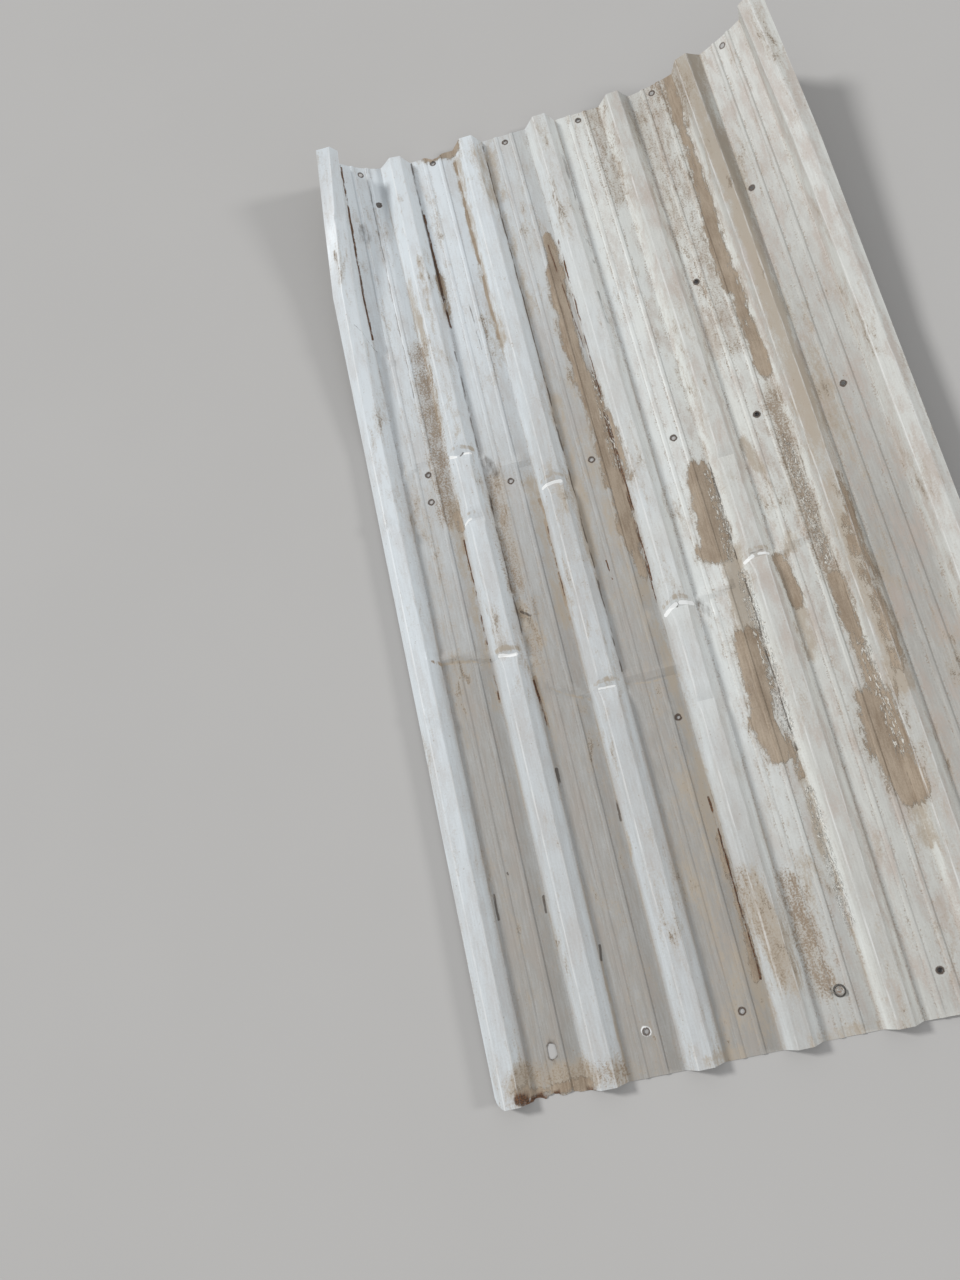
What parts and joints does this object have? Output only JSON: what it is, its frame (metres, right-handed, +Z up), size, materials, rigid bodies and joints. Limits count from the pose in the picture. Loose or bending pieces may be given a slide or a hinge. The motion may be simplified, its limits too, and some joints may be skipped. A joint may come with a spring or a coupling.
{
  "type": "corrugated metal roofing sheet",
  "caption": "Used trapezoidal roofing sheet of painted steel, bent up at its right side and upper corners, creased and mud-stained, with rows of old screw holes and one screw left in its hole.",
  "frame": {"origin": "middle of the sheet's footprint, on the level ground that its flat pans lie on", "axes": "+X across the ribs to the right, +Y along the ribs to the upper end, +Z up from the pans to the crests"},
  "size_m": [0.723, 1.34, 0.1206],
  "materials": {
    "sheet_paint": "weathered off-white paint with mud, grime and rust",
    "washer_rubber": "dusty black rubber",
    "screw_steel": "dull zinc, slightly rusted"
  },
  "bodies": {
    "root": {"sheet": "sheet_paint", "washer": "washer_rubber", "screw": "screw_steel"}
  },
  "joints": []
}
